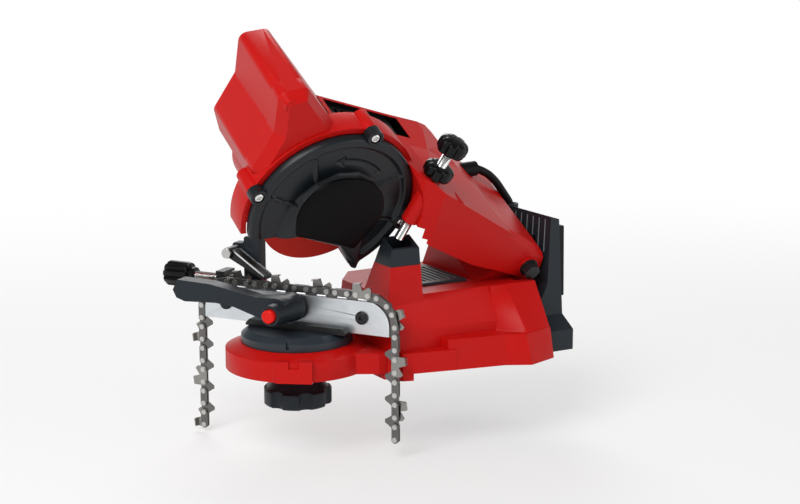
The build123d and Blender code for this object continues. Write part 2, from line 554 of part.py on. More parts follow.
# Each shell screw: x, height, far face, near face and depth of its pilot hole.
shell_screw_spots = [(-52, 196, HOOD_FAR, HOOD_NEAR, -6), (-54, 130, HOOD_FAR, -17, -20),
                     (102, 112, ARM_FAR, ARM_NEAR, -6), (132, 84, ARM_FAR, ARM_NEAR, -6)]
for u, v, low, high, pilot in shell_screw_spots:
    shell += disc(u, v, low + 1, high - 1, 5.5)
    shell -= disc(u, v, low - 1, SEAT_H, 3.4) + disc(u, v, SEAT_H - 1, pilot, SHELL_SCREW_R)
LEAD_H = -45.0
LEAD_POINTS = [Vector(206, 4, 143), Vector(218.5, 8, 127)]
LEAD_BEND = 20.0
LEAD_LOW_Z = 108.0
BOOT_LOW = (155.0, 77.2, LEAD_H)
BOOT_TURN = math.radians(3)
BOOT_R = 6.5


def boot_axis(length):
    return (BOOT_LOW[0] + math.cos(BOOT_TURN) * length, BOOT_LOW[1] + math.sin(BOOT_TURN) * length, LEAD_H)


shell -= rod(boot_axis(0), boot_axis(30), BOOT_R)
SWITCH_AT = (-46.0, 177.5)
SWITCH_BODY = (8.0, 11.5)


def switch_box(half_u, half_v, low, high):
    """Box centred on the power switch."""
    u, v = SWITCH_AT
    return box(u - half_u, u + half_u, v - half_v, v + half_v, low, high)


def switch_rod(half, height, radius):
    """Rod across the power switch."""
    u, v = SWITCH_AT
    return rod((u - half, v, height), (u + half, v, height), radius)


shell -= switch_box(*SWITCH_BODY, HOOD_FAR - 1, HOOD_FAR + WALL + 1)
shell_all = HEAD * shell
near_side = HEAD * box(-200, 300, -100, 400, SPLIT_H, 200)
far_side = HEAD * box(-200, 300, -100, 400, -300, SPLIT_H)
near_parts = (shell_all & near_side).solids().sort_by(SortBy.VOLUME)
far_parts = (shell_all & far_side).solids().sort_by(SortBy.VOLUME)
emit("head_shell_near", near_parts[-1])
emit("head_shell_far", far_parts[-1])

grille = prism([(14.6, 146.1), (76.1, 125.4), (83.3, 120), (84.6, 122.6), (77.8, 129.4), (15.4, 150.4)], -57.8, -30.2)
for i in range(8):
    grille -= prism([(20 + i * 7, 120), (23.4 + i * 7, 120), (23.4 + i * 7, 160), (20 + i * 7, 160)], -54, -34)
emit("vent_grille", HEAD * grille)

# Wheel cover with hub boss and screws.
cover = disc(*DRUM_AT, COVER_LOW, COVER_FACE, COVER_R) - disc(*DRUM_AT, 5, COVER_FACE - 3, COVER_R - 3)
HUB = [(-38, 80), (-38, 110), (-28, 121), (-16, 130), (-4, 134.5), (18, 131.5), (36, 121), (45.5, 104), (44, 86),
       (36, 70), (26, 58), (10, 64), (-25, 74.7)]
cover += taper(HUB, COVER_FACE, shrink(HUB, 3.5), HUB_FACE)
for u, v in cover_screw_spots:
    cover += disc(u, v, COVER_LOW, COVER_FACE, 6.5)
cover -= prism(TRIM, 0, 30)
cover -= disc(motor_u, motor_v, 5, 17.5, 20)
for u, v in cover_screw_spots:
    cover -= disc(u, v, 0, 20, COVER_SCREW_R + 0.1)
cover -= prism([(-12, 143), (40, 130), (42, 133), (16, 143), (0, 147)], 13.2, 20) - disc(*DRUM_AT, 0, 30, 43)
emit("disc_cover", HEAD * cover.solids().sort_by(SortBy.VOLUME)[-1])
PLATE = [(-33, 81), (-33, 104), (-14, 125), (16, 126), (38, 102), (37, 84), (24, 64), (10, 69)]
emit("hub_cover", HEAD * prism(PLATE, HUB_FACE, HUB_FACE + 1.2))
cover_screws = []
for u, v in cover_screw_spots:
    screw = disc(u, v, -7, COVER_FACE, COVER_SCREW_R - FIT) + disc(u, v, COVER_FACE, 15.2, 4.2)
    screw -= hexagon(2.6, 14.2, 15.4).moved(Location((u, v, 0)))
    cover_screws.append(HEAD * screw)
emit("cover_screws", *cover_screws)
shell_screws = []
for u, v, low, high, pilot in shell_screw_spots:
    shank = disc(u, v, SEAT_H, pilot - 0.5, SHELL_SCREW_R - FIT)
    shell_screws.append(HEAD * (shank + disc(u, v, SEAT_H - 2.5, SEAT_H, 3.0)))
emit("shell_screws", *shell_screws)

# Motor and grinding wheel.
CAN_R = 26.0
CAN_WALL = 3.5
CAN_BACK = -76.0
CAN_MOUTH = -24.0
BEARING_R = 8.0
BEARING_THICK = 4.0
SHAFT_R = 4.0
SPINDLE_R = 5.0
FLANGE_R = 17.0
FLANGE_FACE = 4.4
can_front = DRUM_BACK - WALL
motor_place = HEAD * Pos(motor_u, motor_v, 0)


def ring(low, high, outer_r, inner_r):
    """Tube on the motor axis."""
    return disc(0, 0, low, high, outer_r) - disc(0, 0, low - 1, high + 1, inner_r)


can = ring(CAN_BACK, CAN_BACK + BEARING_THICK, CAN_R, BEARING_R)
can += ring(CAN_BACK + BEARING_THICK, CAN_MOUTH, CAN_R, CAN_R - CAN_WALL)
can += ring(CAN_MOUTH, can_front, CAN_R, BEARING_R)
emit("motor_can", motor_place * can)
bearings = [ring(a, b, BEARING_R, SHAFT_R + FIT)
            for a, b in ((CAN_BACK, CAN_BACK + BEARING_THICK), (CAN_MOUTH, can_front))]
emit("motor_bearings", *[motor_place * item for item in bearings])
shaft = disc(0, 0, CAN_BACK - 2, -10, SHAFT_R) + disc(0, 0, -10, 13, SPINDLE_R)
emit("motor_shaft", motor_place * shaft)
emit("rotor_core", motor_place * ring(CAN_BACK + 10, CAN_MOUTH - 6, 20, SHAFT_R))
inner = ring(-6, -WHEEL_HALF, FLANGE_R, SPINDLE_R) + ring(-WHEEL_HALF, 1.4, WHEEL_BORE_R - FIT, SPINDLE_R)
emit("inner_flange", motor_place * inner)
emit("grinding_wheel", motor_place * ring(-WHEEL_HALF, WHEEL_HALF, WHEEL_R, WHEEL_BORE_R))
emit("outer_flange", motor_place * ring(WHEEL_HALF, FLANGE_FACE, FLANGE_R, SPINDLE_R))
nut = hexagon(15, FLANGE_FACE, 10) - disc(0, 0, 0, 12, SPINDLE_R)
emit("wheel_nut", motor_place * nut)

# Pivot bolt and nut.
u, v = PIVOT_AT
bolt = disc(u, v, ARM_FAR - 9, ARM_NEAR + 3, PIVOT_R - 0.02)
bolt += Pos(u, v, 0) * hexagon(13, ARM_NEAR + 3, ARM_NEAR + 9.5)
bolt += disc(u, v, ARM_NEAR + EYE_LIP, ARM_NEAR + 3, 8.4)
emit("pivot_bolt", HEAD * bolt)
nut = Pos(u, v, 0) * (hexagon(15, ARM_FAR - 8, ARM_FAR - 1.6) - disc(0, 0, -90, 0, PIVOT_R))
emit("pivot_nut", HEAD * nut)

# Depth screw.
screw_place = HEAD * Pos(SCREW_TIP[0], SCREW_TIP[1], SCREW_H) * Rot(0, 0, -SCREW_TILT) * Rot(-90, 0, 0)
emit("depth_rod", screw_place * disc(0, 0, 0, KNOB_LOW + 11, SCREW_R))
top = star_knob(KNOB_LOW, KNOB_TOP, KNOB_R, 7, 3.2) - disc(0, 0, 80, KNOB_LOW + 11, SCREW_R + FIT)
emit("depth_knob", screw_place * top)
lock = star_knob(LOCK_LOW, LOCK_TOP, KNOB_R, 7, 3.2) - disc(0, 0, 60, 90, SCREW_R + FIT)
emit("depth_lock_knob", screw_place * lock)

# Return spring round the pivot bolt, inside the far end of the arm.
coil = Helix(pitch=2.6, height=9.6, radius=8.2, center=(*PIVOT_AT, KNUCKLE_FAR - 11.6))
wire = sweep(Plane(origin=coil @ 0, z_dir=coil % 0) * Circle(0.9), path=coil)
emit("return_spring", HEAD * wire)

# Power switch on the far end of the hood.
SWITCH_PIN_R = 1.2
SWITCH_HOLE = (5.7, 9.1)
ROCKER = (5.0, 7.9)
frame = switch_box(SWITCH_BODY[0] + 1.5, SWITCH_BODY[1] + 1.5, HOOD_FAR - 2, HOOD_FAR)
frame += switch_box(*SWITCH_BODY, HOOD_FAR, HOOD_FAR + WALL + 1)
frame -= switch_box(*SWITCH_HOLE, HOOD_FAR - 3, HOOD_FAR + WALL)
frame -= switch_rod(7.5, HOOD_FAR, SWITCH_PIN_R + FIT)
emit("switch_frame", HEAD * frame)
rocker = switch_box(*ROCKER, HOOD_FAR - 4, HOOD_FAR + 2)
rocker += switch_rod(7.2, HOOD_FAR, SWITCH_PIN_R)
rocker -= switch_rod(14, HOOD_FAR - 30, 27.2)
emit("switch_rocker", HEAD * rocker)

# Power lead from the arm to the battery holder.
boot = rod(boot_axis(0), boot_axis(20), BOOT_R) - rod(boot_axis(9), boot_axis(30), LEAD_R + 0.1)
emit("head_lead_boot", HEAD * boot)
start = (HEAD * Pos(*boot_axis(9))).position
ahead = (HEAD * Pos(*boot_axis(26))).position
path = bent_run([start, ahead, *LEAD_POINTS, Vector(*LEAD_END, LEAD_LOW_Z)], LEAD_BEND)
lead = sweep(Plane(origin=start, z_dir=ahead - start) * Circle(LEAD_R), path=path)
emit("power_lead", lead)
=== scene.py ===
import math

import bmesh
import bpy
from mathutils import Matrix, Vector


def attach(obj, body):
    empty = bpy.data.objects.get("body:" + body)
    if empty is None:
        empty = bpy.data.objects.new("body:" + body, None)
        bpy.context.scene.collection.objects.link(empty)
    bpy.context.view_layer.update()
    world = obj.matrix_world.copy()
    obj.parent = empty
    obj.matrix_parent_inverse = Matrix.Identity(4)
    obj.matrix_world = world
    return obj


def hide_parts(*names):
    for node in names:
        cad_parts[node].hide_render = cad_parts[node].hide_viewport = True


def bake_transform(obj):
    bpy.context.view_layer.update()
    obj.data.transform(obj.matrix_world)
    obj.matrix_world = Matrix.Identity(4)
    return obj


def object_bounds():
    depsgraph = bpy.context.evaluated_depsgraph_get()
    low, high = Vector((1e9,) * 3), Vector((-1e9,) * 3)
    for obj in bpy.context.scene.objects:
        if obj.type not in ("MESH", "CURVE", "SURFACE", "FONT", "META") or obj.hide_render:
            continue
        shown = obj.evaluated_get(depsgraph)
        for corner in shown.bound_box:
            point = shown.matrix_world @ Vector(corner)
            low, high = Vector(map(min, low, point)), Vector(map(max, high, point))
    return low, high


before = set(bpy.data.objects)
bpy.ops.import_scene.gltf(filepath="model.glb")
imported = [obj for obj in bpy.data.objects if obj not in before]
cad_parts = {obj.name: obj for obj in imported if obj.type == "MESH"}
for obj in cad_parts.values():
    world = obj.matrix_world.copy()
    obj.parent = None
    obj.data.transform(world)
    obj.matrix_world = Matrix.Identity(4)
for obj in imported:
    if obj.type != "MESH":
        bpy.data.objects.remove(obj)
cad_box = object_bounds()

# ---- Camera -------------------------------------------------------------
# A long lens a little above bench height, turned to see the vise side.
# The bench bolt pattern is the frame's origin; the turntable axis is 133 mm left of it.
TABLE_X = -0.133
LENS_MM = 80.97
LOOK_DOWN, LOOK_RIGHT = 11.575, 29.83
camera_data = bpy.data.cameras.new("camera")
camera_data.lens = LENS_MM
camera_data.sensor_width = 36.0
camera_data.clip_end = 20.0
camera = bpy.data.objects.new("camera", camera_data)
bpy.context.scene.collection.objects.link(camera)
camera.location = (-0.6530 + TABLE_X, -1.3124, 0.3958)
camera.rotation_euler = (math.radians(90 - LOOK_DOWN), 0, math.radians(-LOOK_RIGHT))
bpy.context.scene.camera = camera
bpy.context.scene.view_settings.view_transform = "Standard"

# ---- Studio -------------------------------------------------------------
# A white sweep under the part, a big soft key from the upper left and a weaker fill.
# The sweep turns to plain white away from the part, and takes the shadow close to it.
FLOOR_GAP = 0.004
FLOOR_Z = cad_box[0][2] - FLOOR_GAP
PLAIN_FROM, PLAIN_AT = 0.45, 1.3
NEAR_LIFT = 0.5
SKY_LIGHT = 0.3
WALL_TOP, CEILING_FROM = 0.1, 0.5
CEILING = 0.22


def link(tree, source, target):
    """Joins an output socket to an input socket of the same tree."""
    tree.links.new(source, target)


def seen_rays(tree):
    """1 for rays from the camera, a gloss or a glass, else 0."""
    rays = tree.nodes.new("ShaderNodeLightPath")
    total = None
    for kind in ("Is Camera Ray", "Is Glossy Ray", "Is Transmission Ray"):
        if total is None:
            total = rays.outputs[kind]
            continue
        larger = tree.nodes.new("ShaderNodeMath")
        larger.operation = "MAXIMUM"
        link(tree, total, larger.inputs[0])
        link(tree, rays.outputs[kind], larger.inputs[1])
        total = larger.outputs[0]
    return total


bpy.ops.mesh.primitive_plane_add(size=12, location=(0, 0, FLOOR_Z))
floor = bpy.context.object
floor.name = "floor"
white = bpy.data.materials.new("white_sweep")
white.use_nodes = True
sweep = white.node_tree
sweep.nodes["Principled BSDF"].inputs["Base Color"].default_value = (0.9, 0.9, 0.9, 1)
sweep.nodes["Principled BSDF"].inputs["Roughness"].default_value = 0.9
glow = sweep.nodes.new("ShaderNodeEmission")
spot = sweep.nodes.new("ShaderNodeNewGeometry")
reach = sweep.nodes.new("ShaderNodeVectorMath")
reach.operation = "LENGTH"
fade = sweep.nodes.new("ShaderNodeMapRange")
fade.interpolation_type = "SMOOTHSTEP"
fade.inputs["From Min"].default_value = PLAIN_FROM
fade.inputs["From Max"].default_value = PLAIN_AT
fade.inputs["To Min"].default_value = NEAR_LIFT
share = sweep.nodes.new("ShaderNodeMath")
share.operation = "MULTIPLY"
blend = sweep.nodes.new("ShaderNodeMixShader")
link(sweep, spot.outputs["Position"], reach.inputs[0])
link(sweep, reach.outputs["Value"], fade.inputs["Value"])
link(sweep, fade.outputs["Result"], share.inputs[0])
link(sweep, seen_rays(sweep), share.inputs[1])
link(sweep, share.outputs[0], blend.inputs[0])
link(sweep, sweep.nodes["Principled BSDF"].outputs[0], blend.inputs[1])
link(sweep, glow.outputs[0], blend.inputs[2])
link(sweep, blend.outputs[0], sweep.nodes["Material Output"].inputs[0])
floor.data.materials.append(white)

world = bpy.data.worlds.new("studio")
world.use_nodes = True
bpy.context.scene.world = world
room = world.node_tree
sky = room.nodes["Background"]
sky.inputs["Color"].default_value = (1, 1, 1, 1)
sky.inputs["Strength"].default_value = SKY_LIGHT
shown = room.nodes.new("ShaderNodeBackground")
shown.inputs["Color"].default_value = (1, 1, 1, 1)
way = room.nodes.new("ShaderNodeTexCoord")
parts = room.nodes.new("ShaderNodeSeparateXYZ")
dim = room.nodes.new("ShaderNodeMapRange")
dim.inputs["From Min"].default_value = WALL_TOP
dim.inputs["From Max"].default_value = CEILING_FROM
dim.inputs["To Min"].default_value = 1.0
dim.inputs["To Max"].default_value = CEILING
pick = room.nodes.new("ShaderNodeMixShader")
link(room, way.outputs["Generated"], parts.inputs[0])
link(room, parts.outputs["Z"], dim.inputs["Value"])
link(room, dim.outputs["Result"], shown.inputs["Strength"])
link(room, seen_rays(room), pick.inputs[0])
link(room, sky.outputs[0], pick.inputs[1])
link(room, shown.outputs[0], pick.inputs[2])
link(room, pick.outputs[0], room.nodes["World Output"].inputs[0])


def softbox(name, place, aim, size, power):
    """A square lamp at place, facing aim."""
    lamp = bpy.data.lights.new(name, "AREA")
    lamp.size = size
    lamp.energy = power
    obj = bpy.data.objects.new(name, lamp)
    bpy.context.scene.collection.objects.link(obj)
    obj.location = place
    obj.rotation_euler = (Vector(aim) - Vector(place)).to_track_quat("-Z", "Y").to_euler()


softbox("key", (-1.2, -0.8, 1.4), (0, 0, 0.1), 1.1, 25)
softbox("fill", (1.2, -1.5, 0.5), (0, 0, 0.1), 1.2, 5)
softbox("rim", (0.5, 1.4, 1.2), (0, 0, 0.1), 1.0, 14)

# ---- Moulded red housings ----------------------------------------------
# Base and both head shells: glass-filled nylon, dyed red and spark-eroded to a fine satin grain.
# The mould edges are softened by about a millimetre.
GRAIN_DEEP = 0.0002
CLOUD_SCALE, CLOUD_TINT, CLOUD_GLOSS = 18, 0.9, 0.06
FLAT_BELOW = 28


def moulded(name, color, rough, grain, grain_mm, shine=0.3):
    """Moulded plastic: a fine noise bump and slightly cloudy gloss over one dye colour."""
    made = bpy.data.materials.new(name)
    made.use_nodes = True
    tree = made.node_tree
    shader = tree.nodes["Principled BSDF"]
    place = tree.nodes.new("ShaderNodeTexCoord")
    fine = tree.nodes.new("ShaderNodeTexNoise")
    fine.inputs["Scale"].default_value = 1000 / grain_mm
    fine.inputs["Detail"].default_value = 3
    cloud = tree.nodes.new("ShaderNodeTexNoise")
    cloud.inputs["Scale"].default_value = CLOUD_SCALE
    cloud.inputs["Detail"].default_value = 4
    bump = tree.nodes.new("ShaderNodeBump")
    bump.inputs["Strength"].default_value = grain
    bump.inputs["Distance"].default_value = GRAIN_DEEP
    tint = tree.nodes.new("ShaderNodeMixRGB")
    tint.inputs["Color1"].default_value = (*[c * CLOUD_TINT for c in color], 1)
    tint.inputs["Color2"].default_value = (*color, 1)
    gloss = tree.nodes.new("ShaderNodeMapRange")
    gloss.inputs["To Min"].default_value = rough - CLOUD_GLOSS
    gloss.inputs["To Max"].default_value = rough + CLOUD_GLOSS
    for noise in (fine, cloud):
        link(tree, place.outputs["Object"], noise.inputs["Vector"])
    link(tree, fine.outputs["Fac"], bump.inputs["Height"])
    link(tree, bump.outputs["Normal"], shader.inputs["Normal"])
    link(tree, cloud.outputs["Fac"], tint.inputs["Fac"])
    link(tree, tint.outputs["Color"], shader.inputs["Base Color"])
    link(tree, cloud.outputs["Fac"], gloss.inputs["Value"])
    link(tree, gloss.outputs["Result"], shader.inputs["Roughness"])
    shader.inputs["Specular IOR Level"].default_value = shine
    return made


def finish(node, material, soft_edge=0.0):
    """Gives a frame node its material and rounds its hard edges by soft_edge metres."""
    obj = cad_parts[node]
    for slot in obj.material_slots:
        slot.material = material
    if soft_edge:
        weld = obj.modifiers.new("weld", "WELD")
        weld.merge_threshold = 0.00001
        bevel = obj.modifiers.new("edge", "BEVEL")
        bevel.width = soft_edge
        bevel.segments = 3
        bevel.limit_method = "ANGLE"
        bevel.angle_limit = math.radians(FLAT_BELOW)


red = moulded("red_nylon", (0.58, 0.0065, 0.005), 0.38, 0.12, 0.5, 0.16)
for shell in ("base_housing", "head_shell_near", "head_shell_far"):
    finish(shell, red, 0.0014)

# ---- Dark mouldings -----------------------------------------------------
# Deck panel, battery holder, vise lever and stop post: the same nylon in dark blue-grey.
# The knobs, grille, switch and terminal parts are plain black.
slate = moulded("slate_nylon", (0.017, 0.023, 0.029), 0.40, 0.2, 0.6, 0.22)
black = moulded("black_nylon", (0.003, 0.003, 0.0035), 0.30, 0.15, 0.6, 0.2)
# The tower cap is dark where the stop tower's top lies in the head's shade: painted shade.
for piece in ("deck_cover", "battery_holder", "chain_stop_post",
              "turntable_lock_knob", "clamp_lever", "tower_cap"):
    finish(piece, slate, 0.001)
for piece in ("vent_grille", "switch_frame", "switch_rocker",
              "battery_rails", "terminal_block", "base_floor"):
    finish(piece, black, 0.0006)

# ---- Metal parts --------------------------------------------------------
# Rolled rails, zinc-plated rods and screws, blacked steel, brass bushes and contacts.
# Fine streaks run along the metal, and the gloss varies a little.
STREAK_DEEP, STREAK_BUMP = 0.0001, 0.08
STAIN_SCALE, STAIN_TINT = 60, 0.72
GLOSS_UNDER, GLOSS_OVER, GLOSS_LEAST = 0.08, 0.10, 0.05


def metal(name, color, rough, streak_mm=0.4, stretch=(1, 1, 1), metallic=1.0):
    """Worked metal: streaks in the gloss and the bump over one plain metal colour."""
    made = bpy.data.materials.new(name)
    made.use_nodes = True
    tree = made.node_tree
    shader = tree.nodes["Principled BSDF"]
    shader.inputs["Metallic"].default_value = metallic
    place = tree.nodes.new("ShaderNodeTexCoord")
    spread = tree.nodes.new("ShaderNodeMapping")
    spread.inputs["Scale"].default_value = stretch
    streak = tree.nodes.new("ShaderNodeTexNoise")
    streak.inputs["Scale"].default_value = 1000 / streak_mm
    streak.inputs["Detail"].default_value = 4
    stain = tree.nodes.new("ShaderNodeTexNoise")
    stain.inputs["Scale"].default_value = STAIN_SCALE
    stain.inputs["Detail"].default_value = 5
    tint = tree.nodes.new("ShaderNodeMixRGB")
    tint.inputs["Color1"].default_value = (*[c * STAIN_TINT for c in color], 1)
    tint.inputs["Color2"].default_value = (*color, 1)
    gloss = tree.nodes.new("ShaderNodeMapRange")
    gloss.inputs["To Min"].default_value = max(rough - GLOSS_UNDER, GLOSS_LEAST)
    gloss.inputs["To Max"].default_value = rough + GLOSS_OVER
    bump = tree.nodes.new("ShaderNodeBump")
    bump.inputs["Strength"].default_value = STREAK_BUMP
    bump.inputs["Distance"].default_value = STREAK_DEEP
    link(tree, place.outputs["Object"], spread.inputs["Vector"])
    link(tree, spread.outputs["Vector"], streak.inputs["Vector"])
    link(tree, place.outputs["Object"], stain.inputs["Vector"])
    link(tree, stain.outputs["Fac"], tint.inputs["Fac"])
    link(tree, tint.outputs["Color"], shader.inputs["Base Color"])
    link(tree, streak.outputs["Fac"], gloss.inputs["Value"])
    link(tree, gloss.outputs["Result"], shader.inputs["Roughness"])
    link(tree, streak.outputs["Fac"], bump.inputs["Height"])
    link(tree, bump.outputs["Normal"], shader.inputs["Normal"])
    return made


rolled = metal("rolled_steel", (0.80, 0.84, 0.87), 0.34, 2.0, (1, 1, 6))
zinc = metal("zinc_plate", (0.62, 0.62, 0.60), 0.30)
blacked = metal("blacked_steel", (0.028, 0.028, 0.030), 0.38, 0.5, (1, 1, 1), 0.6)
brass = metal("brass", (0.72, 0.52, 0.20), 0.3)
link_steel = metal("link_steel", (0.20, 0.195, 0.19), 0.34, 0.5)
tooth_chrome = metal("tooth_chrome", (0.34, 0.33, 0.31), 0.26, 0.5)
table_paint = moulded("table_paint", (0.026, 0.036, 0.046), 0.34, 0.2, 0.7, 0.3)
for piece in ("rail_near", "rail_far"):
    finish(piece, rolled, 0.0004)
for piece in ("floor_screws", "return_spring", "turntable_stud", "clamp_nut", "chain_rivets",
              "pawl_pin", "clamp_spindle", "button_spring", "shell_screws", "motor_can",
              "motor_bearings", "motor_shaft", "inner_flange", "outer_flange", "wheel_nut"):
    finish(piece, zinc, 0.0002)
for piece in ("vise_block", "rail_screws", "stop_bracket", "chain_pawl",
              "pivot_bolt", "pivot_nut", "rotor_core"):
    finish(piece, blacked, 0.0004)
for piece in ("pivot_bushes", "battery_contacts", "lock_knob_insert"):
    finish(piece, brass)
for piece in ("tie_straps", "drive_links"):
    finish(piece, link_steel, 0.00025)
for piece in ("cutters_left", "cutters_right"):
    finish(piece, tooth_chrome, 0.00015)
finish("turntable", table_paint, 0.0008)

# ---- Lever button -------------------------------------------------------
# A bright red push button, moulded in nylon.
# It slides in the end of the lever's hub, on a small spring.
signal = moulded("signal_red", (0.78, 0.010, 0.006), 0.3, 0.08, 0.5, 0.2)
finish("lever_button", signal, 0.0005)

# ---- Wheel --------------------------------------------------------------
# A thin disc of vitrified ruby abrasive, open grained and dull, with slightly cloudy colour.
# Two flanges and a nut clamp it on the motor's shaft.
grit = moulded("ruby_grit", (0.50, 0.022, 0.014), 0.72, 0.9, 0.35, 0.15)
finish("grinding_wheel", grit, 0.0004)

# ---- Rubber and board ---------------------------------------------------
# Soft black rubber on the lead and its boot, which is pressed into the arm's end.
# Green laminate for the control board inside the battery holder.
rubber = moulded("soft_rubber", (0.004, 0.004, 0.004), 0.5, 0.2, 0.8, 0.15)
laminate = moulded("board_laminate", (0.015, 0.16, 0.05), 0.45, 0.1, 0.5)
finish("head_lead_boot", rubber, 0.0005)
finish("control_board", laminate)

# ---- Wheel cover --------------------------------------------------------
# A moulded dish over the wheel: rolled rim, sunk web with ribs, a sunk arrow and a boss for the hub.
# It is open below, where the wheel shows, and drops to a point behind the wheel.
SIN_TILT = math.sin(math.radians(30))
COS_TILT = math.cos(math.radians(30))
HEAD_H = 0.0625
HEAD_PLACE = Matrix(((1, 0, 0, TABLE_X), (0, -SIN_TILT, -COS_TILT, 0),
                     (0, COS_TILT, -SIN_TILT, HEAD_H), (0, 0, 0, 1)))
DISH = Vector((3.3, 97.0))
DISH_R = 71.0
RIM_H = 14.0
RIM_LOW = 6.4
RIM_WIDE, RIM_SLOPE = 7.0, 3.0
ROLL_WIDE, ROLL_DROP = 2.0, 1.6
WEB_SUNK = 3.4
INNER_H = RIM_H - 5.4
OPENING = [(-90, 77), (-64, 76), (-50, 72), (-25, 74.7), (17, 61), (37.5, 31), (49, 35),
           (71.5, 63), (90, 66)]
HUB_EDGE = [(-40, 72), (-36, 96), (-29, 112), (-17, 125), (0, 132.5), (18, 131.5), (34, 122),
            (43.5, 106), (44.5, 88), (41, 66), (42, 34), (37.5, 30), (15, 58), (-25, 73)]
HUB_H = 20.4
DOME_OUT, DOME_SLOPE = 1.5, 8.5
RIBS = [((-18, 128), (-26, 156)), ((-32, 106), (-60, 117)), ((38, 116), (62, 127)), ((43, 84), (68, 79))]
BEAD_H, BEAD_HALF, BEAD_SLOPE = 2.6, 2.2, 1.4
ARROW_R = 47.5
ARROW_FROM, ARROW_TO, ARROW_HEAD = 44, 90, 10
ARROW_SUNK, ARROW_HALF, ARROW_SLOPE, HEAD_HALF = 1.3, 2.4, 0.8, 5.2


def to_segment(p, a, b):
    """Distance from p to the run a-b."""
    a, b = Vector(a), Vector(b)
    t = max(0.0, min(1.0, (p - a).dot(b - a) / (b - a).length_squared))
    return (p - a - (b - a) * t).length


def inside(p, outline):
    """Whether p lies inside a closed outline."""
    odd = False
    for (x0, y0), (x1, y1) in zip(outline, outline[1:] + outline[:1]):
        if (y0 > p.y) != (y1 > p.y) and p.x < (x1 - x0) * (p.y - y0) / (y1 - y0) + x0:
            odd = not odd
    return odd


def ease(t):
    """Smooth step from 0 to 1."""
    t = max(0.0, min(1.0, t))
    return t * t * (3 - 2 * t)


def edge_gap(p, outline):
    """Distance from p to a closed outline, positive inside it."""
    near = min(to_segment(p, a, b) for a, b in zip(outline, outline[1:] + outline[:1]))
    return near if inside(p, outline) else -near


def dish_height(p):
    """Height of the cover's outer face at a point of the wheel plane, in mm."""
    r = (p - DISH).length
    height = RIM_H - WEB_SUNK * ease((DISH_R - RIM_WIDE - r) / RIM_SLOPE)
    height -= ROLL_DROP * ease((r - DISH_R + ROLL_WIDE) / ROLL_WIDE)
    for a, b in RIBS:
        bead = BEAD_H * ease((BEAD_HALF - to_segment(p, a, b)) / BEAD_SLOPE)
        height = max(height, min(RIM_H, height + bead))
    angle = math.degrees(math.atan2(p.y - DISH.y, p.x - DISH.x))
    if ARROW_FROM < angle < ARROW_TO:
        height -= ARROW_SUNK * ease((ARROW_HALF - abs(r - ARROW_R)) / ARROW_SLOPE)
    elif ARROW_TO <= angle < ARROW_TO + ARROW_HEAD:
        half = HEAD_HALF * (1 - (angle - ARROW_TO) / ARROW_HEAD)
        height -= ARROW_SUNK * ease((half - abs(r - ARROW_R)) / ARROW_SLOPE)
    dome = ease((edge_gap(p, HUB_EDGE) + DOME_OUT) / DOME_SLOPE)
    return height + (HUB_H - height) * dome


def opening_reach(angle):
    """Distance from the dish's middle to its edge, at the rim or at the opening."""
    way = Vector((math.cos(angle), math.sin(angle)))
    reach = DISH_R
    for a, b in zip(OPENING, OPENING[1:]):
        a, b = Vector(a) - DISH, Vector(b) - DISH
        side = b - a
        cross = way.x * side.y - way.y * side.x
        if abs(cross) > 1e-9:
            t = (a.x * side.y - a.y * side.x) / cross
            u = (a.x * way.y - a.y * way.x) / cross
            if t > 0 and 0 <= u <= 1:
                reach = min(reach, t)
    return reach


def build(name, verts, faces, place, material, body, smooth=40):
    """A mesh piece from millimetre points in a place, smooth shaded, riding on a body."""
    mesh = bpy.data.meshes.new(name)
    mesh.from_pydata([place @ (Vector(v) / 1000) for v in verts], [], faces)
    mesh.materials.append(material)
    obj = bpy.data.objects.new(name, mesh)
    bpy.context.scene.collection.objects.link(obj)
    tidy = bmesh.new()
    tidy.from_mesh(mesh)
    bmesh.ops.remove_doubles(tidy, verts=tidy.verts, dist=0.000002)
    bmesh.ops.recalc_face_normals(tidy, faces=tidy.faces)
    tidy.to_mesh(mesh)
    tidy.free()
    mesh.shade_smooth()
    mesh.set_sharp_from_angle(angle=math.radians(smooth))
    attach(obj, body)
    return obj


def dish_mesh():
    """Rings of the dish's outer face, its side wall, and a plain inner face."""
    spokes, rings, wall = 420, 76, 2.6
    verts, faces = [], []
    for i in range(spokes):
        angle = math.tau * i / spokes
        way = Vector((math.cos(angle), math.sin(angle)))
        reach = opening_reach(angle)
        for k in range(rings + 1):
            spot = DISH + way * reach * (k / rings)
            verts.append((spot.x, spot.y, dish_height(spot)))
        verts.append((spot.x, spot.y, RIM_LOW))
        lip = DISH + way * (reach - wall)
        verts.append((lip.x, lip.y, RIM_LOW))
        verts.append((lip.x, lip.y, INNER_H))
        verts.append((DISH.x, DISH.y, INNER_H))
    row = rings + 5
    for i in range(spokes):
        here, there = i * row, (i + 1) % spokes * row
        for k in range(row - 1):
            faces.append((here + k, here + k + 1, there + k + 1, there + k))
    return verts, faces


cover_nylon = moulded("cover_nylon", (0.009, 0.012, 0.015), 0.34, 0.3, 0.7, 0.3)
cover = build("wheel_cover", *dish_mesh(), HEAD_PLACE, cover_nylon, "head", 55)
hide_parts("disc_cover")

